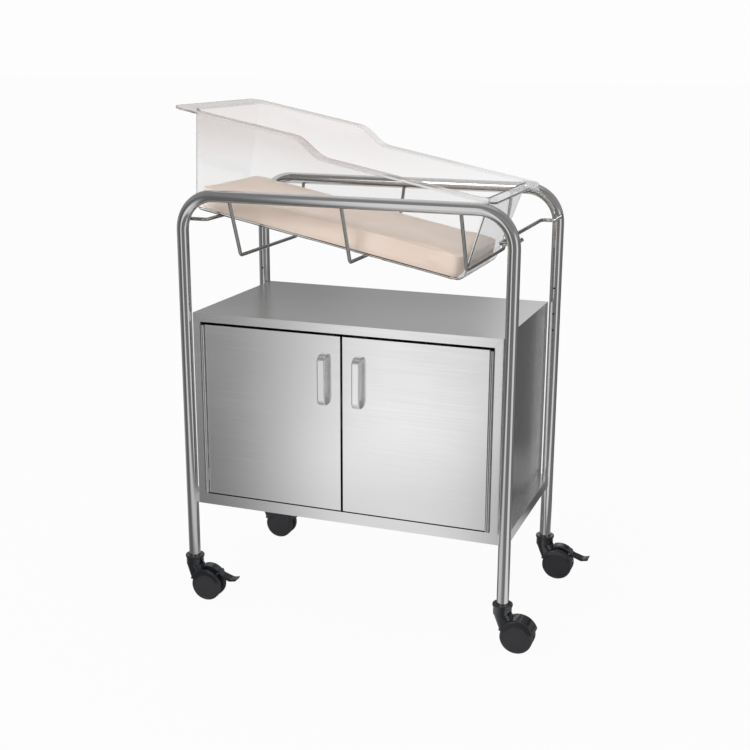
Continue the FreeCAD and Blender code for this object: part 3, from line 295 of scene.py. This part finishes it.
materials = {
    "steel_sheet": brushedSteel("polishedSteelSheet", **steel["sheet"]),
    "steel_tube": brushedSteel("polishedSteelTube", **steel["tube"]),
    "steel_rod": brushedSteel("drawnSteelRod", **steel["rod"]),
    "steel_hinge": brushedSteel("rolledSteelHinge", **steel["hinge"]),
    "handle_steel": brushedSteel("satinChromedSteel", **steel["handle"]),
    "zinc_steel": brushedSteel("zincPlatedSteel", **steel["zinc"]),
    "clear_acrylic": clearAcrylic(),
    "mattress_vinyl": coatedCover(),
    "wheel_nylon": mouldedPlastic("mattNylonWheel", **plastic["wheel"]),
    "caster_nylon": mouldedPlastic("glossyNylonHood", **plastic["hood"]),
    "black_plastic": mouldedPlastic("mouldedPlastic", **plastic["fitting"]),
}
for name, node in nodes.items():
    node.data.materials.clear()
    node.data.materials.append(materials[slotOf[name]])
nodes["tub"].visible_shadow = False  # or what lies in it comes out too dark
print("materials set")


# The cloth: how far the pad starts inside its place, the size of its cells, the filling's pressure,
# the cover's stiffness, the steps it is given, how far it may swell, and how far down its lower
# half the flat underside begins. The upper edge: the radius of its round, the power that squares
# it, and the least that its mean may be. The bead: its height, width and place under the top, and
# how upright a wall has to be to carry it. Lengths are in metres.
pad = {"start": 0.002, "voxel": 0.004, "pressure": 4.0, "stiffness": 25, "steps": 20,
       "swell": 0.0035, "undersideFrom": 0.8, "edgeRound": 0.0095, "edgePower": 7.0,
       "leastMean": 0.7, "beadHeight": 0.001, "beadWidth": 0.002, "beadDrop": 0.003,
       "beadWall": 0.5}


def evaluated(thing):
    # the thing's mesh with its modifiers, in their place
    graph = bpy.context.evaluated_depsgraph_get()
    mesh = bpy.data.meshes.new_from_object(thing.evaluated_get(graph))
    thing.modifiers.clear()
    thing.data = mesh
    return mesh


def mattressFrame():
    # the middle of the mattress and its axes: along it, which is its longest spread, across, and up
    points = readPoints(nodes["mattress"].data)
    middle = points.mean(axis=0)
    longest = np.linalg.eigh(np.cov((points - middle).T))[1][:, 2]
    longest = longest * np.sign(longest[0])
    tilt = math.atan2(-longest[2], longest[0])
    along = (math.cos(tilt), 0, -math.sin(tilt))
    up = (math.sin(tilt), 0, math.cos(tilt))
    return middle, np.stack((along, (0.0, 1.0, 0.0), up), axis=1)


def swell(piece, low, high):
    # the filling presses the cover out, as cloth under pressure; the underside stays flat on the
    # tub, and nothing passes the mattress's place but the crown
    start = readPoints(piece.data)
    settings = piece.modifiers.new("cloth", "CLOTH").settings
    settings.use_pressure = True
    settings.uniform_pressure_force = pad["pressure"]
    settings.effector_weights.gravity = 0.0
    settings.tension_stiffness = pad["stiffness"]
    settings.compression_stiffness = pad["stiffness"]
    for step in range(1, pad["steps"] + 1):
        bpy.context.scene.frame_set(step)
    mesh = evaluated(piece)
    bpy.context.scene.frame_set(1)
    move = readPoints(mesh) - start
    reach = np.linalg.norm(move, axis=1, keepdims=True)
    points = start + move * np.minimum(1, pad["swell"] / np.maximum(reach, 1e-9))
    flatHeight = (low[2] + high[2]) / 2 - (high[2] - low[2]) / 2 * pad["undersideFrom"]
    points[:, 2] = np.where(start[:, 2] < flatHeight, low[2], points[:, 2])
    writePoints(mesh, np.clip(points, low, high + np.array([0, 0, pad["swell"]])))


def finishEdge(mesh):
    # The upper edge is squared up: a point on the round moves out along its normal, from a circle
    # to a squarer curve, by the radius times one over the power mean of the normal's flat and
    # upright parts, less one. The welded bead under it is a bell curve of the height, outwards.
    points = readPoints(mesh)
    normals = np.empty(len(points) * 3)
    mesh.vertex_normals.foreach_get("vector", normals)
    normals = normals.reshape(-1, 3)
    flat = np.linalg.norm(normals[:, :2], axis=1)
    upright = np.maximum(normals[:, 2], 0)
    power = pad["edgePower"]
    mean = (flat ** power + upright ** power) ** (1 / power)
    move = pad["edgeRound"] * (1 / np.maximum(mean, pad["leastMean"]) - 1) * (normals[:, 2] > 0)
    points += normals * move[:, None]
    level = (points[:, 2] - points[:, 2].max() + pad["beadDrop"]) / pad["beadWidth"]
    height = pad["beadHeight"] * np.exp(-level ** 2) * (flat > pad["beadWall"])
    outward = normals * (1, 1, 0) / np.maximum(flat, 1e-6)[:, None]
    return points + outward * height[:, None]


def makeMattress():
    middle, axes = mattressFrame()
    mesh = nodes["mattress"].data.copy()
    block = (readPoints(mesh) - middle) @ axes
    low, high = block.min(axis=0), block.max(axis=0)
    centre, half = (low + high) / 2, (high - low) / 2
    # every point moves towards the middle, so that the block is smaller by as much on each side
    writePoints(mesh, centre + (block - centre) * (1 - pad["start"] / half))
    piece = addToScene("mattressPad", mesh)
    remesh = piece.modifiers.new("remesh", "REMESH")
    remesh.mode = "VOXEL"
    remesh.voxel_size = pad["voxel"]
    evaluated(piece)
    swell(piece, low, high)
    divide = piece.modifiers.new("divide", "SUBSURF")
    divide.levels = divide.render_levels = 1
    mesh = evaluated(piece)
    writePoints(mesh, finishEdge(mesh) @ axes.T + middle)
    for polygon in mesh.polygons:
        polygon.use_smooth = True
    mesh.materials.clear()
    mesh.materials.append(materials["mattress_vinyl"])
    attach(piece, "mattress")
    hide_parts("mattress")


makeMattress()
print("mattress made")


def grey(level):
    return (level, level, level, 1)


def seenRays(tree):
    # one for the rays that show the background: the camera's, those off metal and those through
    # acrylic
    path = addNode(tree, "ShaderNodeLightPath").outputs
    first = numberNode(tree, "MAXIMUM", path["Is Camera Ray"], path["Is Glossy Ray"])
    return numberNode(tree, "MAXIMUM", first, path["Is Transmission Ray"])


# the white of the background, and the strength of the light that comes from all round
studio = {"white": 0.985, "fill": 0.8}

# how far the floor reaches each way, in metres, the grey of its paper, and the share of the
# background's white in it; the rest keeps the shadow
ground = {"reach": 40.0, "paper": 0.9, "glowShare": 0.96}


def makeFloor():
    mesh = bpy.data.meshes.new("floor")
    reach = ground["reach"]
    corners = [(-reach, -reach, 0), (reach, -reach, 0), (reach, reach, 0), (-reach, reach, 0)]
    mesh.from_pydata(corners, [], [(0, 1, 2, 3)])
    material, tree = emptyMaterial("studioFloor")
    paper = addNode(tree, "ShaderNodeBsdfDiffuse", Color=grey(ground["paper"]))
    glow = addNode(tree, "ShaderNodeEmission", Color=grey(studio["white"]), Strength=1.0)
    share = numberNode(tree, "MULTIPLY", seenRays(tree), ground["glowShare"])
    mixed = addNode(tree, "ShaderNodeMixShader", i0=share, i1=paper.outputs[0], i2=glow.outputs[0])
    addNode(tree, "ShaderNodeOutputMaterial", Surface=mixed.outputs[0])
    mesh.materials.append(material)
    floor = addToScene("floor", mesh)


def makeWorld():
    world = bpy.data.worlds.new("studio")
    bpy.context.scene.world = world
    world.use_nodes = True
    tree = world.node_tree
    tree.nodes.clear()
    soft = addNode(tree, "ShaderNodeBackground", Color=grey(1), Strength=studio["fill"])
    white = addNode(tree, "ShaderNodeBackground", Color=grey(studio["white"]), Strength=1.0)
    mixed = addNode(tree, "ShaderNodeMixShader", i0=seenRays(tree), i1=soft.outputs[0],
                    i2=white.outputs[0])
    addNode(tree, "ShaderNodeOutputWorld", Surface=mixed.outputs[0])


# The cards' radius and middle height in metres, the least height over the floor, and how many
# points there are round and up; their grey, and the darkest that a patch may make it; how far they
# open to light that passes a rim, which is two to four acrylic faces.
cards = {"radius": 3.6, "eye": 0.5, "overFloor": 0.004, "columns": 181, "rows": 121,
         "lowest": -88, "highest": 89.5, "grey": 0.16, "darkest": 0.05,
         "rimLight": 0.8, "rimFaces": 3.0, "rimSpread": 1.5}

# Soft patches on the cards: how much lighter or darker each is, and where it begins, ends and how
# soft its edges are, in degrees of turn, then of lift. Turn is 0 at the front, 90 at the foot end
# and 180 behind; lift is above the level.
patches = {
    "sides and back": (0.05, (80, 280, 25), (-90, 90, 1)),
    "front, foot side": (0.06, (5, 45, 12), (-40, 30, 12)),
    "head end": (0.2, (-98, -84, 12), (-60, 4, 14)),
    "overhead": (0.12, (-180, 180, 1), (22, 89, 14)),
    "back wall": (0.03, (130, 210, 25), (4, 40, 5)),
    "back wall, upper": (0.07, (130, 210, 25), (16.5, 90, 3)),
    "back strip": (0.25, (174, 189.5, 2), (6, 30, 4)),
    "back, head side": (-0.06, (207, 220, 7), (8, 15, 3)),
    "back corner": (-0.12, (138, 166, 10), (-42, -8, 6)),
    "glint in the corner": (0.12, (143, 150, 4), (-28, -24, 3)),
    "strip near the floor": (0.35, (126, 150, 6), (-46, -37, 2)),
    "back, foot side": (-0.25, (148, 178, 8), (12, 32, 5)),
    "low at the back": (0.3, (192, 210, 14), (-45, -4, 10)),
}

# windows onto the white studio, how clear they are and where they lie, in the same way
windows = {
    "foot end": (0.95, (56, 76, 9), (-40, 14, 12)),
    "overhead": (0.35, (-180, 180, 1), (72, 89.5, 12)),
}

# The main window is laid out from the eye's mirror image behind the doors, at x and y in metres, so
# that it stands upright in them as this camera sees them, and as no other does. Each edge goes
# from closed to open, in degrees of turn round that point; the window leans by some degrees between
# two lifts, loses a share of its light between two others, and ends at its widest turn.
doorWindow = {"mirror": (0.849, 2.015), "left": (-28.8, -21.4), "right": (-11.3, -17.2),
              "lift": (-62, 20, 12), "lean": 1.2, "leanLift": (-26, -8), "fade": 0.3,
              "fadeLift": (-14, -32), "widest": 100}


def ramp(values, start, end):
    # smoothly from nothing at the start to one at the end
    share = np.clip((values - start) / (end - start), 0, 1)
    return share * share * (3 - 2 * share)


def between(values, low, high, feather):
    # one between low and high, and smoothly down to nothing over the feather outside them
    return ramp(values, low - feather, low) * ramp(values, high + feather, high)


def softPatch(turn, lift, turnRange, liftRange):
    # one on the patch and nothing off it, with the turn counted round the circle from its middle
    low, high, feather = turnRange
    away = (turn - (low + high) / 2 + 180) % 360 - 180
    half = (high - low) / 2
    return between(away, -half, half, feather) * between(lift, *liftRange)


def mainWindow(points, turn, lift):
    mirrorX, mirrorY = doorWindow["mirror"]
    doorTurn = np.degrees(np.arctan2(points[..., 0] - mirrorX, mirrorY - points[..., 1]))
    doorTurn -= doorWindow["lean"] * ramp(lift, *doorWindow["leanLift"])
    opening = ramp(doorTurn, *doorWindow["left"]) * ramp(doorTurn, *doorWindow["right"])
    opening *= between(lift, *doorWindow["lift"])
    opening *= 1 - doorWindow["fade"] * ramp(lift, *doorWindow["fadeLift"])
    return opening * (np.abs(turn) < doorWindow["widest"])


def cardMaterial():
    # the cards' grey for rays that a glossy surface has turned back, and clear in the windows and
    # for all other rays; rays through a rim of the acrylic find the cards mostly clear
    material, tree = emptyMaterial("greyCard")
    tone = addNode(tree, "ShaderNodeAttribute", {"attribute_name": "tone"}).outputs["Fac"]
    opening = addNode(tree, "ShaderNodeAttribute", {"attribute_name": "window"}).outputs["Fac"]
    path = addNode(tree, "ShaderNodeLightPath").outputs
    direct = numberNode(tree, "LESS_THAN", path["Glossy Depth"], 0.5)
    inRim = numberNode(tree, "COMPARE", path["Transmission Depth"], cards["rimFaces"],
                       cards["rimSpread"])
    through = numberNode(tree, "MAXIMUM", direct,
                         numberNode(tree, "MULTIPLY", inRim, cards["rimLight"]))
    opened = numberNode(tree, "MAXIMUM", opening, through)
    card = addNode(tree, "ShaderNodeEmission", Color=tone, Strength=1.0)
    clear = addNode(tree, "ShaderNodeBsdfTransparent")
    mixed = addNode(tree, "ShaderNodeMixShader", i0=opened, i1=card.outputs[0], i2=clear.outputs[0])
    addNode(tree, "ShaderNodeOutputMaterial", Surface=mixed.outputs[0])
    return material


def makeTent():
    # Grey cards round the object, which only reflections see, also through acrylic. A point lies in
    # the direction (turn, lift) from the middle height, at the radius or just over the floor.
    turn, lift = np.meshgrid(np.linspace(-180, 180, cards["columns"]),
                             np.linspace(cards["lowest"], cards["highest"], cards["rows"]))
    flat, steep = np.radians(turn), np.radians(lift)
    toFloor = (cards["eye"] - cards["overFloor"]) / np.maximum(-np.sin(steep), 1e-3)
    reach = np.where(lift < 0, np.minimum(cards["radius"], toFloor), cards["radius"])
    points = np.stack((reach * np.cos(steep) * np.sin(flat), -reach * np.cos(steep) * np.cos(flat),
                       cards["eye"] + reach * np.sin(steep)), axis=-1)
    tone = np.full(turn.shape, cards["grey"])
    for amount, turnRange, liftRange in patches.values():
        tone += amount * softPatch(turn, lift, turnRange, liftRange)
    tone = np.maximum(tone, cards["darkest"])
    opening = mainWindow(points, turn, lift)
    for amount, turnRange, liftRange in windows.values():
        opening = np.maximum(opening, amount * softPatch(turn, lift, turnRange, liftRange))
    index = np.arange(turn.size).reshape(turn.shape)
    faces = np.stack((index[:-1, :-1], index[:-1, 1:], index[1:, 1:], index[1:, :-1]), axis=-1)
    mesh = bpy.data.meshes.new("tent")
    mesh.from_pydata(points.reshape(-1, 3).tolist(), [], faces.reshape(-1, 4).tolist())
    for key, values in (("tone", tone), ("window", opening)):
        layer = mesh.attributes.new(key, "FLOAT", "POINT")
        layer.data.foreach_set("value", values.ravel())
    mesh.materials.append(cardMaterial())
    tent = addToScene("tent", mesh)
    for ray in ("camera", "diffuse", "volume_scatter", "shadow"):
        setattr(tent, f"visible_{ray}", False)


# where the lamp stands and what it is aimed at, and how wide it is, in metres, and its power
keyLight = {"place": (-1.3, -2.8, 2.4), "aim": (0, 0, 0.6), "size": 1.8, "watts": 38}


def makeLight():
    lamp = bpy.data.lights.new("keyLight", "AREA")
    lamp.shape = "DISK"
    lamp.size = keyLight["size"]
    lamp.energy = keyLight["watts"]
    light = addToScene("keyLight", lamp)
    light.visible_glossy = False  # metal shows the windows, not the lamp
    light.location = keyLight["place"]
    towards = Vector(keyLight["aim"]) - Vector(keyLight["place"])
    light.rotation_euler = towards.to_track_quat("-Z", "Y").to_euler()


makeFloor()
makeWorld()
makeTent()
makeLight()


# where the camera stands from the middle of the legs on the floor, in metres, how it is turned in
# degrees, and its lens and sensor in millimetres
view = {"place": (0.8927, -2.3975, 1.1838), "yaw": 20.385, "pitch": 15.106, "roll": 0.196,
        "lens": 58.466, "sensor": 36.0}


def makeCamera():
    low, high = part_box("front_hoop")
    middle = (low[0] + high[0]) / 2
    yaw, pitch, roll = (math.radians(view[key]) for key in ("yaw", "pitch", "roll"))
    ahead = Vector((-math.sin(yaw) * math.cos(pitch), math.cos(yaw) * math.cos(pitch),
                    -math.sin(pitch)))
    right = Vector((math.cos(yaw), math.sin(yaw), 0))
    up = right.cross(ahead)
    tiltedRight = right * math.cos(roll) + up * math.sin(roll)
    tiltedUp = up * math.cos(roll) - right * math.sin(roll)
    turn = Matrix((tiltedRight, tiltedUp, -ahead)).transposed().to_4x4()
    lens = bpy.data.cameras.new("camera")
    lens.lens = view["lens"]
    lens.sensor_width = view["sensor"]
    camera = addToScene("camera", lens)
    place = Vector(view["place"]) + Vector((middle, 0, 0))
    camera.matrix_world = Matrix.Translation(place) @ turn
    bpy.context.scene.camera = camera


makeCamera()
bpy.context.scene.view_settings.view_transform = "Standard"
print("studio and camera set")
